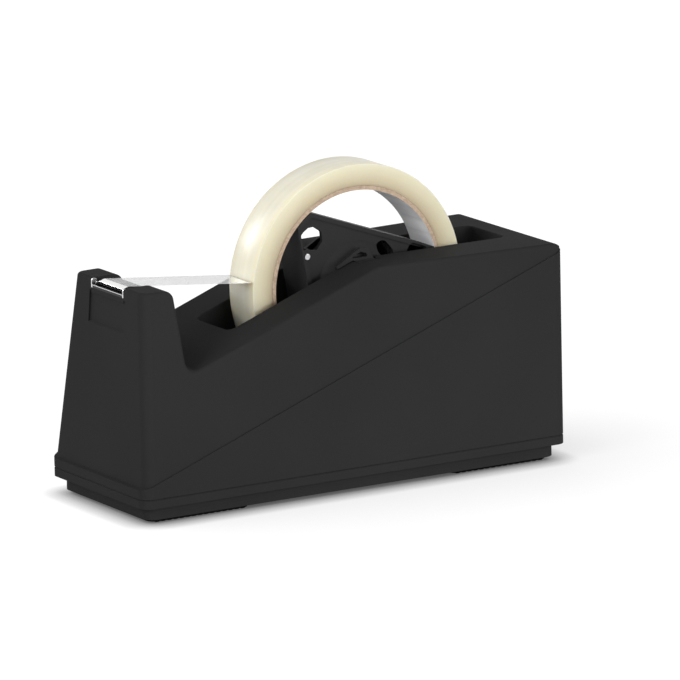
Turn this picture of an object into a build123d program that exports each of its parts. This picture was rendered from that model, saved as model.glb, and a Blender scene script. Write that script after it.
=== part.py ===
from build123d import *
import math
import os

# A weighted bench tape dispenser with a loaded 76 mm core roll.
# Millimetres. X runs from the cutter at the front (-X) to the back, Y across
# the width, Z up from the desk. The origin is on the desk under the middle.

# ---- housing -------------------------------------------------------------
length = 198.0             # over the skirt, front to back
width = 77.0               # over the skirt
wall = 2.4                 # moulded wall of the housing
skirt_corner = 5.0         # plan radius of the skirt
upper_corner = 4.5         # radius of the upper body's front edges
slope_angle = 20.3         # of the crease and of the ramp above it, degrees
crease_height = 3.9        # crease above the parting line, at the front
crease_step = 0.6          # the upper walls stand this far inside the skirt
side_tilt = 8.5            # inward lean of the upper side walls, degrees
front_ledge = 1.4          # front face behind the skirt, at the ledge
front_lean = 4.6           # backward lean of the front face, degrees
tower_height = 80.9        # cutter tower above the parting line
land_height = 79.7         # flat top beside the roll, above the parting line
tower_lean = 5.3           # forward lean of the tower's back face, degrees
ramp_start = 24.6          # foot of the ramp, from the front
ramp_height = 46.7         # foot of the ramp, above the parting line
tower_corner = 4.0         # radius of the tower's back top edge
notch_radius = 4.0         # radius in the bottom of the notch
knee_radius = 14.0         # radius where the ramp meets the land
back_radius = 5.0          # radius of the land's back edge
rim_radius = 1.4           # round along the tops of the side walls
seam = 0.4                 # chamfer each side of the parting line

# ---- tape well ------------------------------------------------------------
well_width = 28.0
well_front = 53.8          # front edge of the well, from the front
well_back = 185.0          # back edge of the well, from the front
well_draft = 3.0           # lean of its end walls, degrees
well_corner = 3.0          # radius in its upright corners
well_edge = 0.5            # round along its mouth
well_depth = 71.0          # from the land to the lowest point of its floor
well_bend = 36.0           # height of its end walls' feet above that point

# ---- cutter ----------------------------------------------------------------
blade_length = 26.0
blade_gauge = 0.6          # sheet steel
blade_trough = 2.4         # front lip to toothed wall, outside
lip_height = 1.2           # front lip of the blade
tooth_wall = 2.3           # toothed wall of the blade, to the tips
tab_height = 3.6           # upturned end tabs
tooth_count = 20
tooth_depth = 0.8
blade_foot = 77.0          # underside of the blade above the parting line
mount_gap = 0.1            # blade and mount in the tower, each side
landing_height = 80.3      # ridge that the film is drawn over
landing_setback = 4.2      # from the blade's lip back to that ridge
landing_fall = 1.6         # from the ridge down to the mount's back edge
mount_depth = 2.0          # below the blade
panel_width = 28.4         # bare recess in the front face
panel_foot = 63.8          # its lower edge, above the parting line
panel_depth = 0.8
panel_slope = 0.8          # its lower edge slopes back by this much

# ---- base -------------------------------------------------------------------
foot_thickness = 1.6
tray_depth = 5.4           # narrow lower part of the tray
band_height = 3.6          # flush band below the parting line
tray_inset = 3.5
tray_wall = 2.2
tray_floor = 2.2
foot_inset = 2.5           # from the tray's lower edge
foot_length = 46.0
foot_corner = 4.0
screw_setback = 14.0       # screw centres in from the skirt, both ways
screw_head_radius = 3.4
screw_head_height = 1.8
screw_radius = 1.75
screw_length = 16.0
pilot_gap = 0.05
post_radius = 4.0
ballast_gap = 1.0          # ballast to the walls round it
ballast_drop = 21.5        # end blocks' tops below the feet of the well's end walls
rear_ballast_length = 23.0
ballast_corner = 3.0
headroom = 20.0            # cuts from above start this far over the tower
tray_lip = 1.2             # stands up inside the housing's wall
tray_lip_wall = 1.5
tray_lip_gap = 0.15

# ---- roll, hub and axle ---------------------------------------------------
axle_setback = 117.3       # roll centre behind the front
axle_height = 68.4         # roll centre above the parting line
tape_width = 19.0
core_radius = 38.1         # inside of the 76 mm core
core_wall = 1.7
wound_depth = 8.9          # film wound on the core
wrap_gap = 0.05            # core to the first turn
hub_flat = 22.3            # axis to the hub's flat sides
hub_gap = 0.3              # hub corner to the core
hub_wall = 1.8
hub_plate = 1.8
hub_rim = 0.8              # the plates lie this far inside the rims
hub_turn = 70.0            # direction of the first flat side, degrees
window_corners = [         # (x, z) from the axle, of the near half's corner window
    (-25.9, 22.8), (-23.0, 25.1), (-19.4, 25.4), (-15.9, 23.0),
    (-15.5, 19.2), (-18.2, 15.7), (-24.6, 15.7)]
window_round = 1.3
sector_inner = 15.2        # wide windows of the far half
sector_outer = 25.0
sector_span = 52.0         # degrees
arch_inner = 14.8          # one curved window beside the drum
arch_outer = 20.8
arch_span = 30.0           # degrees
arch_turn = 41.0
hood_reach = 17.4          # cone round the drum, where it leaves the plate
hood_height = 3.1
pin_reach = 26.4           # steel dowel that joins the halves
pin_turn = 149.4
pin_radius = 1.4
pin_stand = 0.3            # it stands proud of the plate
drum_radius = 12.5         # seat for a 25 mm core
drum_wall = 1.8
drum_length = 24.0
drum_web = 2.4
drum_gap = 0.15            # drum in the hub halves
bearing_radius = 5.6       # tube round the axle
axle_radius = 3.0
axle_fit = 0.06            # radial running clearance
carrier_width = 9.4        # slides down the slots
carrier_gap = 0.3          # to the slot and to the well's wall
carrier_nose = 1.3         # carriers stand this far out of the slots, towards the hub
carrier_reach = 5.0        # into the slot
carrier_top = 10.6         # above the axle
axle_end = 1.0             # axle ends inside the carriers
loop_start = 0.3           # lifting loop, in from the well's wall
loop_gauge = 1.5
loop_outline = [           # (x, z) from the axle
    (-4.7, 11.4), (-13.0, 8.3), (-13.4, 9.3), (-8.9, 12.0), (-4.5, 14.6), (-1.7, 15.8),
    (1.8, 14.7), (3.4, 12.2), (4.7, 9.8), (4.7, 0.0), (-4.7, 0.0)]
loop_eye = [(-6.6, 12.0), (-2.0, 14.3), (0.6, 13.4), (1.3, 11.9), (-3.8, 11.8)]
loop_round = 0.9
press_gap = 0.03           # axle and dowel in their seats

# ---- film drawn to the cutter ----------------------------------------------
film_thickness = 0.25
film_gap = 0.35            # film to the roll and to what it passes over
peel_height = 6.2          # where the film leaves the roll, above the axle
film_overhang = 0.5        # past the toothed wall

# ---- places that follow from the sizes above -------------------------------
front_x = -length / 2
back_x = length / 2
parting_z = foot_thickness + tray_depth + band_height
land_z = parting_z + land_height
tower_z = parting_z + tower_height
slope = math.tan(math.radians(slope_angle))
ramp_x = front_x + ramp_start
ramp_foot_z = parting_z + ramp_height
knee_x = ramp_x + (land_z - ramp_foot_z) / slope
tower_back_x = ramp_x - (tower_z - ramp_foot_z) * math.tan(math.radians(tower_lean))
sky_z = tower_z + headroom
well_half = well_width / 2
well_floor_z = land_z - well_depth
well_front_x = front_x + well_front
well_back_x = front_x + well_back
tray_floor_z = foot_thickness + tray_floor
axle_x = front_x + axle_setback
axle_z = parting_z + axle_height
half_tape = tape_width / 2
tape_radius = core_radius + core_wall + wound_depth
half_drum = drum_length / 2
hub_corner = core_radius - hub_gap
carrier_face = well_half - carrier_gap
slot_width = carrier_width + 2 * carrier_gap
slot_reach = well_half + carrier_reach + carrier_gap
channel_half = blade_length / 2 + mount_gap
blade_z = parting_z + blade_foot
mount_z = blade_z - mount_depth
landing_z = parting_z + landing_height


def face_x(z):
    """X of the housing's front face at height z."""
    rise = z - parting_z - crease_height
    return front_x + front_ledge + rise * math.tan(math.radians(front_lean))


blade_x = face_x(blade_z)
landing_x = blade_x + landing_setback


# ---- drawing helpers ---------------------------------------------------------
def outline_xz(points):
    """Closed face from corners given as (x, z)."""
    return make_face(Polyline([(x, 0, z) for x, z in points], close=True))


def round_corner(face, x, z, radius):
    """Fillet the corner of a side-view face that lies nearest to (x, z)."""
    corner = min(face.vertices(), key=lambda v: math.hypot(v.X - x, v.Z - z))
    return fillet(corner, radius)


def across(face, half):
    """Sweep a side-view face over y from -half to half."""
    return extrude(face, half, dir=(0, 1, 0), both=True)


def between(face, start_y, end_y):
    """Sweep a side-view face from start_y to end_y."""
    return Pos(0, start_y, 0) * extrude(face, end_y - start_y, dir=(0, 1, 0))


def bar(radius, start_y, end_y, x=axle_x, z=axle_z, inner=0.0):
    """Round bar or tube along Y."""
    sketch = Circle(radius) - Circle(inner) if inner else Circle(radius)
    plane = Plane((x, start_y, z), x_dir=(1, 0, 0), z_dir=(0, 1, 0))
    return extrude(plane * sketch, end_y - start_y)


def brick(x0, x1, y0, y1, z0, z1):
    """Box between two corners."""
    middle = Pos((x0 + x1) / 2, (y0 + y1) / 2, (z0 + z1) / 2)
    return middle * Box(x1 - x0, y1 - y0, z1 - z0)


def upright(radius, height, x, y, z):
    """Round bar that stands on z."""
    return Pos(x, y, z) * Cylinder(radius, height, align=(Align.CENTER, Align.CENTER, Align.MIN))


def plan_block(long, wide, radius, z0, z1, x=0.0):
    """Block with rounded upright edges."""
    return extrude(Pos(x, 0, z0) * RectangleRounded(long, wide, radius), z1 - z0)


# ---- housing -------------------------------------------------------------
def side_outline(inset):
    """Side view of the housing: tower, notch, ramp and land, moved in by inset."""
    corners = [
        (front_x, parting_z - 1), (front_x, tower_z), (tower_back_x, tower_z),
        (ramp_x, ramp_foot_z), (knee_x, land_z), (back_x, land_z), (back_x, parting_z - 1),
    ]
    face = outline_xz(corners)
    face = round_corner(face, tower_back_x, tower_z, tower_corner)
    face = round_corner(face, ramp_x, ramp_foot_z, notch_radius)
    face = round_corner(face, knee_x, land_z, knee_radius)
    face = round_corner(face, back_x, land_z, back_radius)
    return offset(face, -inset) if inset else face


def crease_plane():
    """Plane through both creases; its own y axis points up and forward."""
    along = (math.cos(math.radians(slope_angle)), 0, math.sin(math.radians(slope_angle)))
    return Plane((front_x, 0, parting_z + crease_height), x_dir=(0, 1, 0), z_dir=along)


def lower_body(inset):
    """Upright skirt below the crease."""
    skirt = plan_block(length - 2 * inset, width - 2 * inset, skirt_corner - inset, parting_z, sky_z)
    if not inset:
        skirt = chamfer(skirt.faces().sort_by(Axis.Z)[0].edges(), seam)
    half = width
    below = crease_plane() * Pos(0, -half, 0) * Rectangle(2 * half, 2 * half)
    return skirt & extrude(below, 2 * length, both=True)


def upper_body(inset):
    """Leaning walls above the crease, with the rounded front edges."""
    tilt = math.tan(math.radians(side_tilt))
    half = width / 2 - crease_step - inset / math.cos(math.radians(side_tilt))
    rise = tower_height
    section = make_face(Polyline([
        (-half, -wall), (half, -wall), (half, 0), (half - tilt * rise, rise),
        (-half + tilt * rise, rise), (-half, 0)], close=True))
    body = extrude(crease_plane() * section, 2 * length, both=True)
    front = inset / math.cos(math.radians(front_lean))
    keep = outline_xz([
        (face_x(parting_z) + front, parting_z), (face_x(sky_z) + front, sky_z),
        (back_x - inset, sky_z), (back_x - inset, parting_z)])
    body = body & across(keep, width)
    edges = [e for e in body.edges() if is_front_edge(e)]
    body = fillet(edges, upper_corner - inset)
    back_edges = [e for e in body.edges().filter_by(Axis.Z) if e.center().X > back_x - wall - 1]
    return fillet(back_edges, skirt_corner - inset) if back_edges else body


def is_front_edge(edge):
    """The two upright front edges of the upper body."""
    middle = edge.center()
    box = edge.bounding_box()
    return abs(middle.Y) > 1 and box.size.Z > land_height / 2 and middle.X < ramp_x


def housing_form(inset):
    """Outer form of the housing, or the same form with its walls moved in."""
    profile = across(side_outline(inset), width)
    form = (lower_body(inset) + upper_body(inset)) & profile
    return form if inset else fillet([e for e in form.edges() if is_ramp_rim(e)], rim_radius)


def is_ramp_rim(edge):
    """The ramp's two outer edges; a fillet runs on from them round the whole rim."""
    middle = edge.center()
    ramp_z = ramp_foot_z + (middle.X - ramp_x) * slope
    return abs(middle.Z - ramp_z) < wall / 4 and abs(middle.Y) > well_half and edge.length > well_width


def well_form(grow):
    """Space of the tape well, or that space with its walls added."""
    lean = math.tan(math.radians(well_draft))
    foot = well_floor_z + well_bend
    front, back = well_front_x - grow, well_back_x + grow
    low, high = well_floor_z - grow, sky_z
    front_foot = front + (land_z - foot) * lean
    back_foot = back - (land_z - foot) * lean
    lip = (high - foot) * lean
    walls = Polyline([(back_foot, 0, foot), (back_foot + lip, 0, high),
                      (front_foot - lip, 0, high), (front_foot, 0, foot)])
    floor = ThreePointArc((front_foot, 0, foot), (axle_x, 0, low), (back_foot, 0, foot))
    space = across(make_face(walls + floor), well_half + grow)
    corners = [e for e in space.edges() if e.center().Z > foot and e.bounding_box().size.Z > well_bend]
    return fillet(corners, well_corner + grow)


def slot_form(grow):
    """The two slots that the axle carriers drop into."""
    radius = slot_width / 2 + grow
    stem = brick(axle_x - radius, axle_x + radius, -slot_reach - grow, slot_reach + grow,
                 axle_z, sky_z)
    return stem + bar(radius, -slot_reach - grow, slot_reach + grow)


def screw_places():
    """Centres of the four base screws."""
    x, y = length / 2 - screw_setback, width / 2 - screw_setback
    return [(sx * x, sy * y) for sx in (-1, 1) for sy in (-1, 1)]


def make_housing():
    """Upper moulding: tower, notch, ramp, lands and tape well, open below."""
    cavity = housing_form(wall) - well_form(wall) - slot_form(wall)
    backing = channel_half + wall
    cavity -= brick(front_x, ramp_x, -backing, backing, mount_z - wall, sky_z)
    cavity -= brick(front_x, face_x(mount_z) + panel_depth + wall, -backing, backing,
                    parting_z + panel_foot - wall, mount_z)
    cavity += plan_block(length - 2 * wall, width - 2 * wall, skirt_corner - wall,
                         tray_floor_z, parting_z + wall)
    panel_z = parting_z + panel_foot
    panel = outline_xz([
        (front_x - 1, panel_z - panel_slope), (face_x(panel_z - panel_slope), panel_z - panel_slope),
        (face_x(panel_z) + panel_depth, panel_z),
        (face_x(mount_z + 1) + panel_depth, mount_z + 1), (front_x - 1, mount_z + 1)])
    posts = [upright(post_radius, sky_z, x, y, tray_floor_z) for x, y in screw_places()]
    body = housing_form(0) - cavity + [post & cavity for post in posts]
    body -= well_form(0) + slot_form(0) + across(panel, panel_width / 2)
    mouth = [e for e in body.edges() if is_well_mouth(e)]
    body = fillet(mouth, well_edge)
    body -= brick(front_x - 1, ramp_x, -channel_half, channel_half, mount_z, sky_z)
    return body - [upright(screw_radius + pilot_gap, screw_length + pilot_gap, x, y, foot_thickness)
                   for x, y in screw_places()]


def is_well_mouth(edge):
    """Edges of the well and of the slots in the ramp and the lands."""
    middle = edge.center()
    inside = well_front_x - 1 < middle.X < well_back_x + 1 and abs(middle.Y) < slot_reach + 1
    return inside and middle.Z > parting_z + ramp_height and edge.bounding_box().size.Z < well_bend \
        and touches_top(edge)


def touches_top(edge):
    """Both ends lie in the ramp, the knee or the lands."""
    return all(abs(v.Z - top_at(v.X)) < 0.6 for v in edge.vertices())


def top_at(x):
    """Height of the ramp and lands, without the round at the knee."""
    return min(land_z, ramp_foot_z + (x - ramp_x) * slope)


# ---- cutter ----------------------------------------------------------------
def make_blade_mount():
    """Landing between the tower's shoulders, with the blade's seat in its nose."""
    back = blade_x + blade_trough + mount_gap
    tips = blade_z + tooth_wall - tooth_depth
    tail_x = tower_back_x
    face = outline_xz([
        (blade_x, mount_z), (blade_x, blade_z), (back, blade_z), (back, tips - film_gap),
        (landing_x, landing_z), (tail_x, landing_z - landing_fall), (tail_x, mount_z)])
    face = round_corner(face, landing_x, landing_z, landing_fall)
    face = round_corner(face, tail_x, landing_z - landing_fall, landing_fall)
    return across(face, blade_length / 2)


def make_cutter_blade():
    """Sheet-steel trough: smooth front lip, toothed wall behind it, upturned ends."""
    half = blade_length / 2
    back = blade_x + blade_trough
    tips = blade_z + tooth_wall
    trough = outline_xz([
        (blade_x, blade_z), (blade_x, blade_z + lip_height),
        (blade_x + blade_gauge, blade_z + lip_height), (blade_x + blade_gauge, blade_z + blade_gauge),
        (back - blade_gauge, blade_z + blade_gauge), (back - blade_gauge, tips),
        (back, tips), (back, blade_z)])
    blade = across(trough, half)
    pitch = (blade_length - 2 * blade_gauge) / tooth_count
    start = -half + blade_gauge
    notches = []
    for i in range(tooth_count):
        y = start + i * pitch
        gap = Polyline([(0, y, tips + 1), (0, y, tips), (0, y + pitch / 2, tips - tooth_depth),
                        (0, y + pitch, tips), (0, y + pitch, tips + 1)], close=True)
        notches.append(extrude(Pos(back - 2 * blade_gauge, 0, 0) * make_face(gap), 3 * blade_gauge,
                               dir=(1, 0, 0)))
    blade -= notches
    for side in (-1, 1):
        ends = sorted((side * half, side * (half - blade_gauge)))
        tab = outline_xz([(blade_x, blade_z), (back, blade_z), (back, blade_z + tab_height),
                          (blade_x, blade_z + tab_height)])
        tab = round_corner(tab, blade_x, blade_z + tab_height, blade_trough / 3)
        tab = round_corner(tab, back, blade_z + tab_height, blade_trough / 3)
        blade += between(tab, *ends)
    return blade


# ---- base ------------------------------------------------------------------
def make_base_tray():
    """Lower moulding: flush band, narrower foot, and a lip that enters the housing."""
    band = plan_block(length, width, skirt_corner, parting_z - band_height, parting_z)
    band = chamfer(band.faces().sort_by(Axis.Z)[-1].edges(), seam)
    foot = plan_block(length - 2 * tray_inset, width - 2 * tray_inset, skirt_corner,
                      foot_thickness, parting_z - band_height)
    inside = tray_inset + tray_wall
    room = plan_block(length - 2 * inside, width - 2 * inside, tray_wall, tray_floor_z, sky_z)
    edge = wall + tray_lip_gap
    lip = plan_block(length - 2 * edge, width - 2 * edge, skirt_corner - wall, parting_z,
                     parting_z + tray_lip)
    lip -= plan_block(length - 2 * (edge + tray_lip_wall), width - 2 * (edge + tray_lip_wall),
                      skirt_corner - wall, parting_z, parting_z + tray_lip)
    tray = band + foot - room + lip
    reach = screw_radius + pilot_gap
    holes = [upright(reach, tray_floor + 1, x, y, foot_thickness) for x, y in screw_places()]
    sinks = [screw_head(pilot_gap, x, y) for x, y in screw_places()]
    return tray - holes - sinks


def screw_head(gap, x, y):
    """Countersunk head that starts flush with the tray's underside."""
    cone = Cone(screw_head_radius + gap, screw_radius + gap, screw_head_height,
                align=(Align.CENTER, Align.CENTER, Align.MIN))
    return Pos(x, y, foot_thickness) * cone


def make_base_screws():
    """Four tapping screws, from under the tray into the housing's posts."""
    screws = []
    for x, y in screw_places():
        shank = upright(screw_radius, screw_length - screw_head_height, x, y,
                        foot_thickness + screw_head_height)
        screws.append(screw_head(0, x, y) + shank)
    return Compound(screws)


def make_foot_pad(side):
    """Rubber pad across one end of the tray; side is -1 at the front."""
    edge = tray_inset + foot_inset
    middle = side * (length / 2 - edge - foot_length / 2)
    return plan_block(foot_length, width - 2 * edge, foot_corner, 0, foot_thickness, middle)


def end_ballast_height():
    """Both end blocks stop below the feet of the well's end walls."""
    return well_floor_z + well_bend - ballast_drop - tray_floor_z


def ballast(start, end, half, height):
    """Cast block on the tray floor."""
    block = plan_block(end - start, 2 * half, ballast_corner, tray_floor_z, tray_floor_z + height,
                       (start + end) / 2)
    return chamfer(block.faces().sort_by(Axis.Z)[-1].edges(), ballast_gap)


def end_ballast_half():
    """The end blocks stand between the screw posts."""
    return width / 2 - screw_setback - post_radius - ballast_gap


def make_front_ballast():
    inside = tray_inset + tray_wall + ballast_gap
    end = well_front_x - wall - ballast_gap
    return ballast(front_x + inside, end, end_ballast_half(), end_ballast_height())


def make_rear_ballast():
    inside = tray_inset + tray_wall + ballast_gap
    end = back_x - inside
    return ballast(end - rear_ballast_length, end, end_ballast_half(), end_ballast_height())


def make_centre_ballast():
    inside = tray_inset + tray_wall + ballast_gap
    start = well_front_x
    end = back_x - inside - rear_ballast_length - 2 * ballast_gap
    height = well_floor_z - wall - ballast_gap - tray_floor_z
    return ballast(start, end, width / 2 - inside, height)


# ---- hub -------------------------------------------------------------------
def slab(sketch, start_y, end_y):
    """Sweep a sketch drawn round the axle (x right, y up) from start_y to end_y."""
    plane = Plane((axle_x, end_y, axle_z), x_dir=(1, 0, 0), z_dir=(0, -1, 0))
    return extrude(plane * sketch, end_y - start_y)


def hub_outline(inset):
    """Three flats with the corners cut to the core's bore."""
    flats = RegularPolygon(hub_flat - inset, 3, major_radius=False, rotation=hub_turn + 60)
    return flats & Circle(hub_corner - inset)


def round_the_hub(shape):
    """Three copies of a sketch about the axle."""
    return Sketch() + [Rot(0, 0, 120 * i) * shape for i in range(3)]


def sector(inner, outer, span, turn):
    """Part of a ring with round ends, centred on a direction from the axle."""
    bare = span - 2 * math.degrees((outer - inner) / (outer + inner))
    line = CenterArc((0, 0), (inner + outer) / 2, turn - bare / 2, bare)
    return make_face(offset(line, (outer - inner) / 2, side=Side.BOTH))


def corner_windows(side):
    """Rounded windows in the near half's corners, wide sectors in the far half."""
    if side > 0:
        return round_the_hub(sector(sector_inner, sector_outer, sector_span, hub_turn + 60))
    window = make_face(Polyline(window_corners, close=True))
    return round_the_hub(fillet(window.vertices(), window_round))


def make_hub_half(side):
    """One moulded half: flat-sided rim, a plate inside it, a hood and a collar for the drum."""
    outer = -half_tape
    plate = outer + hub_rim
    half = slab(hub_outline(0), outer, 0)
    half -= slab(hub_outline(hub_wall), outer, plate)
    half -= slab(hub_outline(hub_wall), plate + hub_plate, 0)
    collar = drum_radius + drum_gap
    hood = Cone(hood_reach, collar + hub_wall / 2, hood_height, align=(Align.CENTER, Align.CENTER, Align.MIN))
    half += Plane((axle_x, plate, axle_z), x_dir=(1, 0, 0), z_dir=(0, -1, 0)) * hood
    half += slab(Circle(collar + hub_wall), plate, 0)
    arch = sector(arch_inner, arch_outer, arch_span, arch_turn)
    half -= slab(arch, plate - hood_height, plate + hub_plate)
    half -= slab(corner_windows(side), outer, plate + hub_plate)
    half -= slab(Circle(collar), plate - hood_height, 0)
    x, z = dowel_place()
    seat = slab(Pos(x, z) * Circle(pin_radius + hub_wall), plate, 0)
    half += seat & slab(hub_outline(0), plate, 0)
    half -= slab(Pos(x, z) * Circle(pin_radius + press_gap), outer, 0)
    return half if side < 0 else mirror(half, Plane.XZ)


def dowel_place():
    """Centre of the dowel, from the axle."""
    turn = math.radians(pin_turn)
    return pin_reach * math.cos(turn), pin_reach * math.sin(turn)


def make_hub_dowel():
    x, z = dowel_place()
    end = half_tape - hub_rim + pin_stand
    dowel = slab(Pos(x, z) * Circle(pin_radius), -end, end)
    return fillet(dowel.edges(), pin_stand)


def make_core_drum():
    """Round centre: seat for a small core outside, bearing tube on the axle inside."""
    bore = axle_radius + axle_fit
    drum = bar(drum_radius, -half_drum, half_drum, inner=drum_radius - drum_wall)
    drum += bar(drum_radius - drum_wall / 2, -drum_web / 2, drum_web / 2, inner=bore)
    drum += bar(bearing_radius, -half_drum, half_drum, inner=bore)
    middle = (drum_radius - drum_wall / 2 + bearing_radius) / 2
    rib = Rectangle(drum_radius - bearing_radius, drum_wall)
    ribs = round_the_hub(Rot(0, 0, hub_turn) * Pos(middle, 0) * rib)
    drum += slab(ribs, -half_drum + hub_rim, half_drum - hub_rim)
    return drum


# ---- axle ------------------------------------------------------------------
def make_axle():
    half = well_half + carrier_reach - axle_end
    return bar(axle_radius, -half, half)


def make_axle_carrier(side):
    """Block that drops down a slot, with a lifting loop that lies over the land."""
    half = carrier_width / 2
    stem = Circle(half) + Pos(0, carrier_top / 2) * Rectangle(carrier_width, carrier_top)
    loop = make_face(Polyline(loop_outline, close=True))
    loop = fillet([v for v in loop.vertices() if v.Y > carrier_top + 0.5 and v.X > -half * 2], loop_round)
    eye = make_face(Polyline(loop_eye, close=True))
    eye = fillet(eye.vertices(), loop_round / 3)
    end = -well_half - carrier_reach
    loop_face = -well_half - loop_start
    carrier = slab(stem, end, -carrier_face + carrier_nose)
    carrier += slab(loop, loop_face - loop_gauge, loop_face)
    carrier -= slab(eye, loop_face - loop_gauge, loop_face)
    carrier -= slab(Circle(axle_radius + press_gap), end, -carrier_face + carrier_nose)
    return carrier if side < 0 else mirror(carrier, Plane.XZ)


# ---- tape ------------------------------------------------------------------
def make_tape_core():
    return bar(core_radius + core_wall, -half_tape, half_tape, inner=core_radius)


def make_tape_roll():
    return bar(tape_radius, -half_tape, half_tape, inner=core_radius + core_wall + wrap_gap)


def make_tape_leader():
    """Film from the roll over the landing to the tooth tips."""
    reach = math.sqrt(tape_radius ** 2 - peel_height ** 2)
    tips = blade_z + tooth_wall
    under = [
        (axle_x - reach - film_gap, axle_z + peel_height),
        (landing_x, landing_z + film_gap),
        (blade_x + blade_trough - blade_gauge - film_overhang, tips + film_gap)]
    over = [(x, z + film_thickness) for x, z in reversed(under)]
    return across(outline_xz(under + over), half_tape)


def main():
    nodes = {
        "housing": make_housing(),
        "base_tray": make_base_tray(),
        "base_screws": make_base_screws(),
        "front_foot_pad": make_foot_pad(-1),
        "rear_foot_pad": make_foot_pad(1),
        "front_ballast": make_front_ballast(),
        "centre_ballast": make_centre_ballast(),
        "rear_ballast": make_rear_ballast(),
        "blade_mount": make_blade_mount(),
        "cutter_blade": make_cutter_blade(),
        "axle": make_axle(),
        "near_axle_carrier": make_axle_carrier(-1),
        "far_axle_carrier": make_axle_carrier(1),
        "core_drum": make_core_drum(),
        "near_hub_half": make_hub_half(-1),
        "far_hub_half": make_hub_half(1),
        "hub_dowel": make_hub_dowel(),
        "tape_core": make_tape_core(),
        "tape_roll": make_tape_roll(),
        "tape_leader": make_tape_leader(),
    }
    os.makedirs("parts", exist_ok=True)
    for name, shape in nodes.items():
        export_step(shape, f"parts/{name}.step")


main()
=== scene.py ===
# %% [markdown]
# A weighted bench tape dispenser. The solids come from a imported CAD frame, so their sizes and
# places are settled before this file starts. Here each piece gets its finish, the tape gets the
# detail that a plain ring lacks, and a camera and soft light show the result.

import math

import bmesh
import bpy
from mathutils import Matrix, Vector


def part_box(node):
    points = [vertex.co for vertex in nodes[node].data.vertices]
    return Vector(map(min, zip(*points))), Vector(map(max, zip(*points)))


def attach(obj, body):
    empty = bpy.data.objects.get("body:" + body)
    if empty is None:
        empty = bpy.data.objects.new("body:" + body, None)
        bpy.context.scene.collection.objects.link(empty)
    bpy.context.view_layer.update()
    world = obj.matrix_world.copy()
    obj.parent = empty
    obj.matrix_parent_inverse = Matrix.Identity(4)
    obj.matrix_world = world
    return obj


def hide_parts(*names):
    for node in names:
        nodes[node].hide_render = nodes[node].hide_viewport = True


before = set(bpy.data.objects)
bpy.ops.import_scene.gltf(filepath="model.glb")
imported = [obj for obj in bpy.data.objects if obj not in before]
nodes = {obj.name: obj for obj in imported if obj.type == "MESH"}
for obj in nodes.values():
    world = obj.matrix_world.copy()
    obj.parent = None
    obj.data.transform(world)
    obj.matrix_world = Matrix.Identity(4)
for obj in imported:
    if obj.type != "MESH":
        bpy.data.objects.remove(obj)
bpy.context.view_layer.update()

# %% [markdown]
# Two helpers serve everything below. One turns millimetres into metres, because the frame is in
# metres and the sizes of a desk product read best in millimetres. The other makes a mesh from
# vertices and faces, smooth across shallow angles and crisp across sharp ones, as a moulding is.

# %% Millimetres and meshes
def mm(*values):
    """Millimetres to metres: one number, or a point."""
    return values[0] * 0.001 if len(values) == 1 else Vector(v * 0.001 for v in values)


def show(mesh):
    """Put a mesh in the scene as an object at the origin."""
    thing = bpy.data.objects.new(mesh.name, mesh)
    bpy.context.scene.collection.objects.link(thing)
    return thing


def new_mesh(name, points, faces, crisp=35):
    """Mesh from points in metres, shaded smooth below the crisp angle in degrees."""
    mesh = bpy.data.meshes.new(name)
    mesh.from_pydata([tuple(p) for p in points], [], faces)
    work = bmesh.new()
    work.from_mesh(mesh)
    bmesh.ops.remove_doubles(work, verts=work.verts, dist=mm(0.002))
    bmesh.ops.recalc_face_normals(work, faces=work.faces)
    work.to_mesh(mesh)
    work.free()
    mesh.shade_smooth()
    mesh.set_sharp_from_angle(angle=math.radians(crisp))
    return mesh


# %% [markdown]
# Node trees are used three times: for the backdrop, for materials and for Geometry Nodes. The
# wiring is the same each time, so one class does it. It adds a node, sets its inputs by name or
# by number, and links what is passed in from another node.

# %% Wiring of node trees
class Wiring:
    """A node tree under construction."""

    def __init__(self, tree):
        self.tree = tree

    def add(self, kind, settings=None, **inputs):
        """Node with its settings and inputs; To_Min means "To Min", and i0 the first input."""
        node = self.tree.nodes.new(kind)
        for key, value in (settings or {}).items():
            setattr(node, key, value)
        for key, value in inputs.items():
            numbered = key[0] == "i" and key[1:].isdigit()
            name = int(key[1:]) if numbered else key.replace("_", " ")
            self.feed(node.inputs[name], value)
        return node

    def feed(self, socket, value):
        """Link an output to a socket, or set the socket's value."""
        if isinstance(value, bpy.types.NodeSocket):
            self.tree.links.new(value, socket)
        else:
            socket.default_value = value

    def math(self, operation, first, second=0.0):
        """Result of a math node."""
        node = self.add("ShaderNodeMath", {"operation": operation}, i0=first, i1=second)
        return node.outputs[0]


# %% [markdown]
# The camera repeats the photograph's viewpoint: low, in front and to one side, far away with a
# long lens. A camera in Blender looks along its own -Z, so the matrix holds its right, up and
# backward directions as columns. Turning those three directions from a yaw, a pitch and a small
# roll is safer than Euler angles, where the order of the turns matters.

# %% Camera
yaw, pitch, roll = 0.53398, 0.21938, -0.02198
focal_px = 8181.4
image_px = 680
forward = Vector((math.sin(yaw) * math.cos(pitch), math.cos(yaw) * math.cos(pitch),
                  -math.sin(pitch)))
level = Vector((math.cos(yaw), -math.sin(yaw), 0))
above = level.cross(forward)
right = math.cos(roll) * level + math.sin(roll) * above
up = -math.sin(roll) * level + math.cos(roll) * above
corner_to_frame = mm(-99.0, -38.5, 10.6)
eye = corner_to_frame - (mm(-77.268) * right + mm(-64.072) * up + mm(3228.7) * forward)

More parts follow.
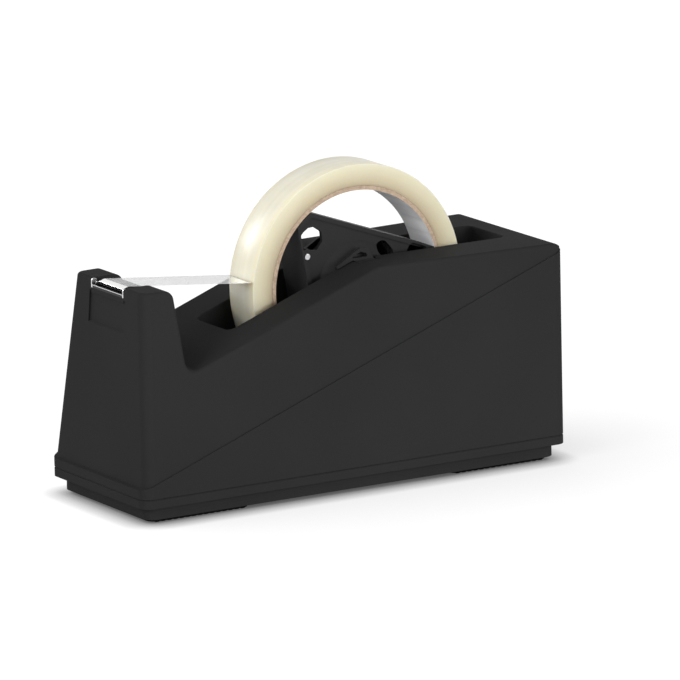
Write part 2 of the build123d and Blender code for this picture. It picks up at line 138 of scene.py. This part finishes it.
lens = bpy.data.cameras.new("photo_camera")
lens.sensor_width = 36
lens.lens = focal_px * lens.sensor_width / image_px
lens.clip_start = 0.1
lens.clip_end = 100
camera = bpy.data.objects.new("photo_camera", lens)
bpy.context.scene.collection.objects.link(camera)
turn = Matrix((right, up, -forward)).transposed().to_4x4()
camera.matrix_world = Matrix.Translation(eye) @ turn
bpy.context.scene.camera = camera
print("camera", round(math.degrees(yaw), 1), round(math.degrees(pitch), 1),
      "lens", round(lens.lens))

# %% [markdown]
# The product stands on a white sweep. The floor must look white, and still show the soft shadow.
# So the camera sees mostly a steady white, and the rest is an ordinary matt surface that the
# lamps light. Only rays from the eye, or seen in gloss or through a clear piece, get the steady
# white, so it never works as a lamp under the object. A steady white takes no shadow, so two
# ambient occlusion nodes dim it: a near one at the contact line, and a far one whose normal
# leans to the front, which dims only the floor behind the object.

# %% Floor
def seen_directly(wires):
    """Value that is 1 for rays from the eye, in gloss or through clear pieces."""
    rays = wires.add("ShaderNodeLightPath").outputs
    mirrored = wires.math("MAXIMUM", rays["Is Camera Ray"], rays["Is Glossy Ray"])
    return wires.math("MAXIMUM", mirrored, rays["Is Transmission Ray"])


def nearness(wires, reach, normal, least, power):
    """Strength between the least value beside the object and 1 away from it."""
    lean = wires.add("ShaderNodeCombineXYZ", X=normal[0], Y=normal[1], Z=normal[2])
    sky = wires.add("ShaderNodeAmbientOcclusion", Distance=reach, Normal=lean.outputs[0])
    curve = wires.math("POWER", sky.outputs["AO"], power)
    return wires.add("ShaderNodeMapRange", Value=curve, To_Min=least).outputs["Result"]


sweep = bpy.data.materials.new("white_sweep")
sweep.use_nodes = True
sweep.node_tree.nodes.clear()
wires = Wiring(sweep.node_tree)
contact = nearness(wires, mm(11.0), (0, 0, 1), 0.1, 1.1)
behind = nearness(wires, mm(100.0), (-0.65, 0.25, 0.7), 0.6, 1.0)
glow = wires.math("MULTIPLY", wires.math("MULTIPLY", contact, behind), 1.12)
matt = wires.add("ShaderNodeBsdfDiffuse", Color=(0.9, 0.9, 0.9, 1))
steady = wires.add("ShaderNodeEmission", Color=(1, 1, 1, 1), Strength=glow)
share = wires.math("MULTIPLY", seen_directly(wires), 0.9)
blend = wires.add("ShaderNodeMixShader", i0=share, i1=matt.outputs[0], i2=steady.outputs[0])
wires.add("ShaderNodeOutputMaterial", Surface=blend.outputs[0])

reach, drop = 4.0, -0.0001
floor = show(new_mesh("floor", [(-reach, -reach, drop), (reach, -reach, drop),
                                (reach, reach, drop), (-reach, reach, drop)], [(0, 1, 2, 3)]))
floor.data.materials.append(sweep)
print("floor", reach * 2, "m square")

# %% Backdrop
world = bpy.data.worlds.new("studio")
bpy.context.scene.world = world
world.use_nodes = True
world.node_tree.nodes.clear()
wires = Wiring(world.node_tree)
dim = wires.add("ShaderNodeBackground", Color=(1, 1, 1, 1), Strength=0.3)
white = wires.add("ShaderNodeBackground", Color=(1, 1, 1, 1), Strength=1.0)
blend = wires.add("ShaderNodeMixShader", i0=seen_directly(wires), i1=dim.outputs[0],
                  i2=white.outputs[0])
wires.add("ShaderNodeOutputWorld", Surface=blend.outputs[0])
print("backdrop", world.name)

# %% [markdown]
# Dark plastic shows its form through the light that slides over it. A large soft box low on the
# right makes the long side the lightest face, a weaker one on the left lights the front, and a
# faint one above keeps the tops dark. The small one behind leaves a glare on the film, and the
# last one gives the back enough light for the other views.

# %% Soft boxes
middle = Vector((0, 0, 0.05))


def soft_box(name, place, wide, tall, power):
    """Area lamp that faces the middle of the product."""
    data = bpy.data.lights.new(name, "AREA")
    data.shape = "RECTANGLE"
    data.size, data.size_y, data.energy = wide, tall, power
    lamp = bpy.data.objects.new(name, data)
    bpy.context.scene.collection.objects.link(lamp)
    lamp.location = place
    lamp.rotation_euler = (middle - Vector(place)).to_track_quat("-Z", "Y").to_euler()


soft_box("key_box", (0.5, -2.0, 0.5), 1.2, 0.9, 36)
soft_box("front_box", (-2.0, -0.6, 0.8), 1.0, 0.9, 24)
soft_box("top_box", (-0.7, 0.2, 2.0), 1.4, 1.4, 6)
soft_box("gloss_box", (-1.1, 2.1, 0.85), 0.6, 0.6, 14)
soft_box("back_box", (2.0, 1.6, 0.25), 1.2, 0.5, 8)
bpy.context.scene.view_settings.view_transform = "Standard"
print("soft boxes", len(bpy.data.lights))

# %% [markdown]
# Materials come next. Each one is a small tree of nodes that reads Object coordinates, so the
# pattern stays on the piece when the piece moves. This class adds to the wiring what a finish
# needs: noise, colour ramps, bumps, and a way to give the finish to CAD nodes.

# %% Finishes
class Finish(Wiring):
    """A material under construction."""

    def __init__(self, name):
        self.material = bpy.data.materials.new(name)
        self.material.use_nodes = True
        super().__init__(self.material.node_tree)
        self.skin = self.tree.nodes["Principled BSDF"]
        self.where = self.add("ShaderNodeTexCoord").outputs

    def set(self, name, value):
        """Feed an input of the surface."""
        self.feed(self.skin.inputs[name], value)

    def place(self):
        """X, Y and Z of the point, in the object's coordinates."""
        return self.add("ShaderNodeSeparateXYZ", Vector=self.where["Object"]).outputs

    def stretch(self, factors, move=(0, 0, 0)):
        """Object coordinates, moved and then scaled along each axis."""
        moved = self.add("ShaderNodeVectorMath", {"operation": "ADD"},
                         i0=self.where["Object"], i1=move)
        return self.add("ShaderNodeVectorMath", {"operation": "MULTIPLY"},
                        i0=moved.outputs[0], i1=factors).outputs[0]

    def noise(self, scale, detail=3.0, rough=0.5, vector=None):
        """Noise in repeats for each metre."""
        node = self.add("ShaderNodeTexNoise", Vector=vector or self.where["Object"],
                        Scale=scale, Detail=detail, Roughness=rough)
        return node.outputs["Fac"]

    def ramp(self, value, stops):
        """Colour ramp with stops given as (position, (r, g, b))."""
        node = self.add("ShaderNodeValToRGB", Fac=value)
        bar = node.color_ramp
        while len(bar.elements) < len(stops):
            bar.elements.new(0.5)
        for element, (position, colour) in zip(bar.elements, stops):
            element.position = position
            element.color = (*colour, 1)
        return node.outputs["Color"]

    def scaled(self, value, low, high):
        """Value between low and high, as 0 to 1."""
        node = self.add("ShaderNodeMapRange", Value=value, From_Min=low, From_Max=high)
        return node.outputs["Result"]

    def line(self, value, factor, start):
        """Value times a factor, plus a start."""
        return self.math("ADD", self.math("MULTIPLY", value, factor), start)

    def mix(self, factor, first, second):
        """Second colour over the first one."""
        node = self.add("ShaderNodeMix", {"data_type": "RGBA"}, i0=factor, i6=first, i7=second)
        return node.outputs[2]

    def bump(self, height, strength, distance):
        """Fine relief."""
        node = self.add("ShaderNodeBump", Height=height, Strength=strength, Distance=distance)
        self.set("Normal", node.outputs["Normal"])

    def wear(self, *names):
        """Give this finish to CAD nodes."""
        for name in names:
            slots = nodes[name].data.materials
            slots.clear()
            slots.append(self.material)
        print(self.material.name, "on", ", ".join(names))


# %% [markdown]
# The housing is a charcoal moulding with the fine, even grain of a spark-eroded mould. Up close
# that grain is a bump a few hundredths of a millimetre deep; from a desk away it only softens the
# gloss. A slow change of shade keeps the large side wall from looking like flat paint. The hub,
# its drum and the axle carriers are the same kind of plastic, but from smoother moulds and a
# little darker, as small inner parts usually are.

# %% Mouldings
def moulded(name, dark, light, roughness, gloss, grain):
    """Textured moulded plastic between two shades."""
    finish = Finish(name)
    cloud = finish.noise(14.0, 2.0)
    fleck = finish.noise(2600.0, 2.0)
    mixed = finish.math("ADD", finish.math("MULTIPLY", cloud, 0.8),
                        finish.math("MULTIPLY", fleck, 0.2))
    finish.set("Base Color", finish.ramp(mixed, [(0.3, dark), (0.7, light)]))
    finish.set("Roughness", finish.line(fleck, 0.12, roughness - 0.06))
    finish.set("Specular IOR Level", gloss)
    finish.bump(finish.noise(3400.0, 3.0, 0.6), 0.35, grain)
    return finish


charcoal = moulded("charcoal_moulding", (0.0192, 0.0192, 0.0195), (0.023, 0.023, 0.0234),
                   0.75, 0.03, mm(0.05))
charcoal.wear("housing", "base_tray", "blade_mount")
smooth_black = moulded("dark_moulding", (0.0165, 0.0165, 0.0168), (0.0198, 0.0198, 0.0202),
                       0.6, 0.1, mm(0.02))
smooth_black.wear("near_hub_half", "far_hub_half", "core_drum", "near_axle_carrier",
                  "far_axle_carrier")

# %% [markdown]
# Three metals differ in how they were made. The screws, the axle and the dowel are turned and
# zinc plated, so faint rings follow their length. The ballast is cast and never seen from
# outside, dull and pitted. The blade is rolled sheet, and its fine lines run along it.

# %% Turned steel and castings
zinc = Finish("turned_steel")
rings = zinc.noise(60.0, 4.0, 0.6, zinc.stretch((4.0, 60.0, 4.0)))
zinc.set("Base Color", zinc.ramp(rings, [(0.3, (0.44, 0.44, 0.46)), (0.7, (0.62, 0.62, 0.63))]))
zinc.set("Metallic", 1.0)
zinc.set("Roughness", zinc.line(rings, 0.2, 0.22))
zinc.bump(rings, 0.25, mm(0.01))
zinc.wear("axle", "base_screws", "hub_dowel")

iron = Finish("cast_ballast")
pits = iron.noise(420.0, 5.0, 0.65)
iron.set("Base Color", iron.ramp(pits, [(0.3, (0.1, 0.1, 0.1)), (0.7, (0.19, 0.185, 0.18))]))
iron.set("Metallic", 0.8)
iron.set("Roughness", iron.line(pits, 0.3, 0.5))
iron.bump(pits, 0.6, mm(0.25))
iron.wear("front_ballast", "centre_ballast", "rear_ballast")

# %% [markdown]
# The blade looks like a thin bright outline round a dark trough. The bright steel colour is left
# only on a thin band of the lip, as a painted highlight line, and on the end tabs, which mirror
# the white room. The walls and trough between them get a painted dark reflection of the tower and
# painted shade, placed by the distance from the blade's lower edge, front and ends.

# %% Blade steel
low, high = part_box("cutter_blade")
# The lip's height band between these two keeps the bright steel colour as a painted highlight
# line.
highlight_low, highlight_high = mm(0.95), mm(1.42)
tab_reach, skin_depth = mm(0.9), mm(0.1)
blade = Finish("blade_steel")
lines = blade.noise(90.0, 4.0, 0.6, blade.stretch((40.0, 1.5, 40.0)))
steel_colour = blade.ramp(lines, [(0.3, (0.62, 0.62, 0.63)), (0.7, (0.78, 0.78, 0.79))])
x, y, z = blade.place()
height = blade.math("SUBTRACT", z, low.z)
# bead: the band of the lip's height that stays bright, a painted highlight line.
bead = blade.math("MULTIPLY", blade.math("GREATER_THAN", height, highlight_low),
                  blade.math("LESS_THAN", height, highlight_high))
lip_highlight = blade.math("MULTIPLY", blade.math("LESS_THAN", x, low.x + skin_depth), bead)
faces_front = blade.math("LESS_THAN", x, high.x - skin_depth / 2)
between_tabs = blade.math("LESS_THAN", blade.math("ABSOLUTE", y), high.y - tab_reach)
# dark: 1 where the blade gets the painted dark reflection of the tower and painted shade of the
# trough.
dark = blade.math("MULTIPLY", faces_front, blade.math("SUBTRACT", 1.0, lip_highlight))
dark = blade.math("MULTIPLY", dark, between_tabs)
# The near-black colour is the painted reflection and shade, laid over the bright steel colour.
blade.set("Base Color", blade.mix(dark, steel_colour, (0.02, 0.02, 0.021, 1)))
blade.set("Metallic", 1.0)
blade.set("Roughness", blade.line(lines, 0.18, 0.16))
blade.bump(lines, 0.2, mm(0.008))
blade.wear("cutter_blade")
print("blade", [round(v * 1000, 1) for v in high - low])

# %% [markdown]
# The core is a tube of wound kraft board. Its cut ends show the plies as fine brown rings, and
# its bore is lined with smooth grey-white paper. One material tells the two apart by the
# distance from the roll's axis and by the direction in which the surface faces.

# %% Kraft core
low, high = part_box("tape_core")
axis = (low + high) / 2
core_radius = (high.z - low.z) / 2
ply = mm(0.34)
print("roll axis", [round(v * 1000, 1) for v in axis])


def polar(finish):
    """Distance from the roll's axis in metres, and how far the surface faces along it."""
    flat = finish.stretch((1, 0, 1), (-axis.x, 0, -axis.z))
    distance = finish.add("ShaderNodeVectorMath", {"operation": "LENGTH"}, i0=flat)
    facing = finish.add("ShaderNodeSeparateXYZ", Vector=finish.where["Normal"]).outputs["Y"]
    return distance.outputs["Value"], finish.math("ABSOLUTE", facing)


def waves(finish, distance, pitch):
    """Sine of the distance, for rings with an even pitch."""
    return finish.math("SINE", finish.math("MULTIPLY", distance, 2 * math.pi / pitch))


kraft = Finish("kraft_core")
distance, facing = polar(kraft)
fibre = kraft.noise(900.0, 4.0, 0.6)
tone = kraft.math("ADD", kraft.math("MULTIPLY", waves(kraft, distance, ply), 0.14), fibre)
board = kraft.ramp(tone, [(0.25, (0.25, 0.17, 0.11)), (0.75, (0.47, 0.36, 0.26))])
streak = kraft.noise(160.0, 3.0, 0.55, kraft.stretch((1.0, 0.04, 1.0)))
liner = kraft.ramp(streak, [(0.35, (0.72, 0.72, 0.74)), (0.65, (0.90, 0.90, 0.91))])
in_bore = kraft.math("MULTIPLY", kraft.math("LESS_THAN", distance, core_radius - mm(1.2)),
                     kraft.math("LESS_THAN", facing, 0.5))
kraft.set("Base Color", kraft.mix(in_bore, board, liner))
kraft.set("Roughness", 0.62)
kraft.bump(tone, 0.4, mm(0.06))
kraft.wear("tape_core")

# %% [markdown]
# The pads are soft black rubber. Seen from below, a real pad has ribs that grip the desk, and
# equal ribs in a row are a job for Geometry Nodes: one rib is instanced along a line of points.
# The tree has named inputs for the sizes, so both pads come from it. Realize Instances turns the
# copies into real mesh, and Set Material gives the whole pad its rubber.

# %% Geometry Nodes helper
class Growth(Wiring):
    """A Geometry Nodes tree under construction, with one input for each size."""

    def __init__(self, name, sizes):
        super().__init__(bpy.data.node_groups.new(name, "GeometryNodeTree"))
        face = self.tree.interface
        face.new_socket("Geometry", in_out="INPUT", socket_type="NodeSocketGeometry")
        face.new_socket("Geometry", in_out="OUTPUT", socket_type="NodeSocketGeometry")
        for label, value in sizes.items():
            kind = "NodeSocketInt" if isinstance(value, int) else "NodeSocketFloat"
            face.new_socket(label, in_out="INPUT", socket_type=kind).default_value = value
        self.start = self.add("NodeGroupInput")
        self.end = self.add("NodeGroupOutput")

    def __getitem__(self, label):
        return self.start.outputs[label]

    def point(self, **parts):
        """Vector from its X, Y and Z."""
        return self.add("ShaderNodeCombineXYZ", **parts).outputs[0]

    def finish(self, geometry, material):
        """Close the tree: realized copies, joined to the base, in one material."""
        real = self.add("GeometryNodeRealizeInstances", Geometry=geometry)
        joined = self.add("GeometryNodeJoinGeometry", Geometry=real.outputs[0])
        self.tree.links.new(self["Geometry"], joined.inputs[0])
        dressed = self.add("GeometryNodeSetMaterial", Geometry=joined.outputs[0],
                           Material=material)
        self.feed(self.end.inputs[0], dressed.outputs[0])

    def grow(self, base, **sizes):
        """Run the tree on a base mesh and return the result as a plain object."""
        thing = show(base)
        modifier = thing.modifiers.new(self.tree.name, "NODES")
        modifier.node_group = self.tree
        for socket in self.tree.interface.items_tree:
            if socket.in_out == "INPUT" and socket.name in sizes:
                modifier[socket.identifier] = sizes[socket.name]
        graph = bpy.context.evaluated_depsgraph_get()
        grown = bpy.data.meshes.new_from_object(thing.evaluated_get(graph), depsgraph=graph)
        thing.modifiers.remove(modifier)
        thing.data = grown
        print(thing.name, len(grown.polygons), "faces")
        return thing


# %% Rubber
rubber = Finish("foot_rubber")
dust = rubber.noise(700.0, 4.0, 0.6)
rubber.set("Base Color",
           rubber.ramp(dust, [(0.3, (0.002, 0.002, 0.002)), (0.8, (0.004, 0.004, 0.004))]))
rubber.set("Roughness", 0.78)
rubber.set("Specular IOR Level", 0.04)
rubber.bump(dust, 0.4, mm(0.04))

# %% Tree for the ribs of a pad
rib_depth = mm(0.3)
ribs = Growth("pad_ribs", {"Count": 15, "Pitch": mm(2.8), "Rib": mm(1.6), "Depth": rib_depth,
                           "Width": mm(60.0), "Middle": 0.0})
run = ribs.math("MULTIPLY", ribs.math("SUBTRACT", ribs["Count"], 1.0), ribs["Pitch"])
first = ribs.math("SUBTRACT", ribs["Middle"], ribs.math("MULTIPLY", run, 0.5))
begin = ribs.point(X=first, Z=ribs.math("MULTIPLY", ribs["Depth"], 0.5))
row = ribs.add("GeometryNodeMeshLine", Count=ribs["Count"], Start_Location=begin,
               Offset=ribs.point(X=ribs["Pitch"]))
rib = ribs.add("GeometryNodeMeshCube",
               Size=ribs.point(X=ribs["Rib"], Y=ribs["Width"], Z=ribs["Depth"]))
copies = ribs.add("GeometryNodeInstanceOnPoints", Points=row.outputs[0],
                  Instance=rib.outputs["Mesh"])
ribs.finish(copies.outputs[0], rubber.material)
print("tree", ribs.tree.name)

# %% Foot pads
corner_radius, corner_steps = mm(4.0), 8
rib_margin = mm(0.8)


def pad_slab(name, low, high):
    """Rounded slab of a foot pad, above its ribs."""
    points = []
    for corner in range(4):
        x = high.x - corner_radius if corner in (0, 3) else low.x + corner_radius
        y = high.y - corner_radius if corner in (0, 1) else low.y + corner_radius
        for step in range(corner_steps + 1):
            angle = math.radians(90 * (corner + step / corner_steps))
            points.append((x + corner_radius * math.cos(angle),
                           y + corner_radius * math.sin(angle)))
    count = len(points)
    verts = [(x, y, z) for z in (low.z + rib_depth, high.z) for x, y in points]
    faces = [tuple(range(count)), tuple(range(count, 2 * count))]
    faces += [(i, (i + 1) % count, (i + 1) % count + count, i + count) for i in range(count)]
    return new_mesh(name, verts, faces)


for name in ("front_foot_pad", "rear_foot_pad"):
    low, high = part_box(name)
    pad = ribs.grow(pad_slab(name + "_ribbed", low, high), Middle=(low.x + high.x) / 2,
                    Width=high.y - low.y - rib_margin)
    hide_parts(name)
    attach(pad, "body")

# %% [markdown]
# The roll is clear film with a cream adhesive, wound several hundred turns thick. Light sinks in
# a little, so the ends glow warm. The colour of the ends is set darker and more amber towards the
# core. The outer turn is glossy and slightly grey with warmer edges. The ends are not flat: each
# turn sits a little higher or lower than the last. The body is a revolved outline, and a second
# Geometry Nodes tree lays fine rings of scattered height on both ends.

# %% Wound film
inner, outer, half = mm(39.8), mm(48.7), mm(9.5)
film = Finish("wound_film")
distance, facing = polar(film)
turns = waves(film, distance, mm(0.42))
uneven = film.noise(55.0, 3.0, 0.5)
# depth runs from 0 at the core to 1 at the outside, so the ends' colour is darker towards the
# core.
depth = film.math("ADD", film.math("MULTIPLY", turns, 0.012),
                  film.scaled(distance, inner, outer))
ends = film.ramp(depth, [(0.0, (0.60, 0.47, 0.27)), (0.25, (0.72, 0.62, 0.40)),
                         (0.6, (0.82, 0.75, 0.53)), (0.93, (0.86, 0.81, 0.60)),
                         (1.0, (0.92, 0.89, 0.75))])
band = film.noise(300.0, 2.0, 0.5, film.stretch((0.02, 1.0, 0.02), (-axis.x, 0, -axis.z)))
shade = film.math("ADD", film.math("MULTIPLY", band, 0.5), film.math("MULTIPLY", uneven, 0.5))
face = film.ramp(shade, [(0.35, (0.74, 0.70, 0.55)), (0.65, (0.86, 0.83, 0.70))])
from_middle = film.math("ABSOLUTE", film.place()["Y"])
warm = film.math("MULTIPLY", film.scaled(from_middle, mm(6.2), half), 0.7)
face = film.mix(warm, face, (0.84, 0.75, 0.50, 1))
on_end = film.math("GREATER_THAN", facing, 0.5)
film.set("Base Color", film.mix(on_end, face, ends))
film.set("Roughness", film.line(on_end, 0.25, 0.32))
film.set("Subsurface Weight", 0.6)
film.set("Subsurface Radius", (1.0, 0.85, 0.5))
film.set("Subsurface Scale", mm(7.0))
film.bump(film.math("ADD", turns, film.math("MULTIPLY", band, 1.5)), 0.3, mm(0.02))

# %% Revolved body of the roll
edge, bead = mm(0.18), mm(0.055)
core_gap = mm(0.05)


def revolve(name, outline, steps=192):
    """Closed ring from an outline of (radius, y) in metres, about the roll's axis."""
    points, faces, count = [], [], len(outline)
    for step in range(steps):
        angle = 2 * math.pi * step / steps
        points += [(axis.x + r * math.cos(angle), y, axis.z + r * math.sin(angle))
                   for r, y in outline]
        here, there = step * count, ((step + 1) % steps) * count
        faces += [(here + i, here + (i + 1) % count, there + (i + 1) % count, there + i)
                  for i in range(count)]
    return new_mesh(name, points, faces)


end = half - bead
rounding = [(outer, end - edge), (outer - edge * 0.3, end - edge * 0.3), (outer - edge, end),
            (inner + core_gap, end)]
section = [(r, -y) for r, y in reversed(rounding)] + rounding
roll_body = revolve("wound_roll", section)
print("roll outline", len(section), "points")

# %% Scattered turns
winding = Growth("scattered_turns", {"Inner": inner + mm(0.15), "Outer": outer - mm(0.15),
                                     "Turns": 26, "Half": end, "Bead": bead, "Seed": 4})
dots = winding.add("GeometryNodePoints", Count=winding.math("MULTIPLY", winding["Turns"], 2.0))
index = winding.add("GeometryNodeInputIndex").outputs[0]
turn_number = winding.math("FLOOR", winding.math("DIVIDE", index, 2.0))
odd = winding.math("MODULO", index, 2.0)
end_sign = winding.math("SUBTRACT", winding.math("MULTIPLY", odd, 2.0), 1.0)
along = winding.math("DIVIDE", turn_number, winding.math("SUBTRACT", winding["Turns"], 1.0))
thickness = winding.math("SUBTRACT", winding["Outer"], winding["Inner"])
radius = winding.math("ADD", winding["Inner"], winding.math("MULTIPLY", along, thickness))
scatter = winding.add("FunctionNodeRandomValue", {"data_type": "FLOAT"}, i2=0.0, i3=0.6,
                      Seed=winding["Seed"])
sunk = winding.math("MULTIPLY", scatter.outputs[1], winding["Bead"])
height = winding.math("SUBTRACT", winding["Half"], sunk)
spot = winding.point(Y=winding.math("MULTIPLY", height, end_sign))
placed = winding.add("GeometryNodeSetPosition", Geometry=dots.outputs[0], Position=spot)
circle = winding.add("GeometryNodeCurvePrimitiveCircle", {"mode": "RADIUS"}, Resolution=128,
                     Radius=1.0)
upright = winding.add("GeometryNodeTransform", Geometry=circle.outputs[0],
                      Rotation=(math.pi / 2, 0, 0))
loops = winding.add("GeometryNodeInstanceOnPoints", Points=placed.outputs[0],
                    Instance=upright.outputs[0], Scale=winding.point(X=radius, Y=1.0, Z=radius))
real = winding.add("GeometryNodeRealizeInstances", Geometry=loops.outputs[0])
thread = winding.add("GeometryNodeCurvePrimitiveCircle", {"mode": "RADIUS"}, Resolution=6,
                     Radius=winding["Bead"])
beads = winding.add("GeometryNodeCurveToMesh", Curve=real.outputs[0],
                    Profile_Curve=thread.outputs[0])
moved = winding.add("GeometryNodeTransform", Geometry=beads.outputs[0],
                    Translation=(axis.x, 0, axis.z))
winding.finish(moved.outputs[0], film.material)
roll = winding.grow(roll_body)
roll.data.shade_smooth()
roll.data.set_sharp_from_angle(angle=math.radians(35))
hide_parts("tape_roll")
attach(roll, "roll")

# %% [markdown]
# The film drawn to the cutter is under a tenth of a millimetre thick and pulled tight, so it is
# modelled as a thin strip: it peels from the roll along a straight line, runs over the landing
# and ends just past the teeth in the saw-toothed edge of the last tear. It is nearly clear and a
# little grey. Past the ridge of the landing, where it bends down, it gets a painted reflection of
# the room. Near the roll, along a slanted line, it gets a painted highlight: near-white, partly
# metallic and less see-through.

# %% Clear film
ridge_x = mm(-87.5)
near_x = axis.x - outer - mm(6.0)
highlight_depth = mm(1.6)
slope = 0.593
clear = Finish("clear_film")
x, y, z = clear.place()
# A fixed slanted line on the film marks where the painted highlight near the roll begins.
slant = clear.math("SUBTRACT", x, clear.math("MULTIPLY", y, slope))
near_roll = clear.scaled(slant, near_x, near_x + highlight_depth)
past_ridge = clear.scaled(x, ridge_x + mm(0.2), ridge_x - mm(0.3))
# painted_highlight: 1 in both zones, which get a near-white colour, some metal and less
# see-through as painted highlight and reflection.
painted_highlight = clear.math("MAXIMUM", near_roll, past_ridge)
lines = clear.noise(120.0, 3.0, 0.5, clear.stretch((0.05, 1.0, 1.0)))
streaks = clear.ramp(lines, [(0.35, (0.60, 0.60, 0.62)), (0.65, (0.74, 0.74, 0.75))])
# The near-white colour is the painted highlight, laid over the grey streaks of the film.
clear.set("Base Color", clear.mix(painted_highlight, streaks, (0.96, 0.96, 0.95, 1)))
clear.set("Metallic", clear.math("MULTIPLY", painted_highlight, 0.7))
clear.set("Alpha", clear.line(painted_highlight, 0.45, 0.45))
clear.set("Roughness", 0.12)
clear.bump(lines, 0.2, mm(0.05))

# %% Strip of film
low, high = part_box("tape_leader")
peel_z = axis.z + mm(6.2)
ridge_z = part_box("blade_mount")[1].z + mm(0.35)
torn_z = mm(90.2)
columns, stations = 40, 48
tear_depth, tear_teeth = mm(0.55), 14.5
most_sag = mm(0.12)
print("strip", [round(v * 1000, 1) for v in high - low])


def strip_height(x):
    """Underside of the film: straight from the peel to the landing, then down to the teeth."""
    if x > ridge_x:
        return ridge_z + (peel_z - ridge_z) * (x - ridge_x) / (high.x - ridge_x)
    return ridge_z + (x - ridge_x) * (ridge_z - torn_z) / (ridge_x - low.x)


points, faces = [], []
for i in range(stations + 1):
    for j in range(columns + 1):
        across = j / columns
        start = low.x + tear_depth * abs((across * tear_teeth) % 1 * 2 - 1)
        x = start + (high.x - start) * i / stations
        sag = most_sag * math.sin(math.pi * i / stations) * (1 - (2 * across - 1) ** 2)
        points.append((x, half * (2 * across - 1), strip_height(x) + mm(0.05) - sag))
        if i < stations and j < columns:
            a = i * (columns + 1) + j
            faces.append((a, a + 1, a + columns + 2, a + columns + 1))
strip = show(new_mesh("film_strip", points, faces))
thick = strip.modifiers.new("thickness", "SOLIDIFY")
thick.thickness = mm(0.07)
thick.offset = 1.0
strip.data.materials.append(clear.material)
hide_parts("tape_leader")
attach(strip, "axle_set")
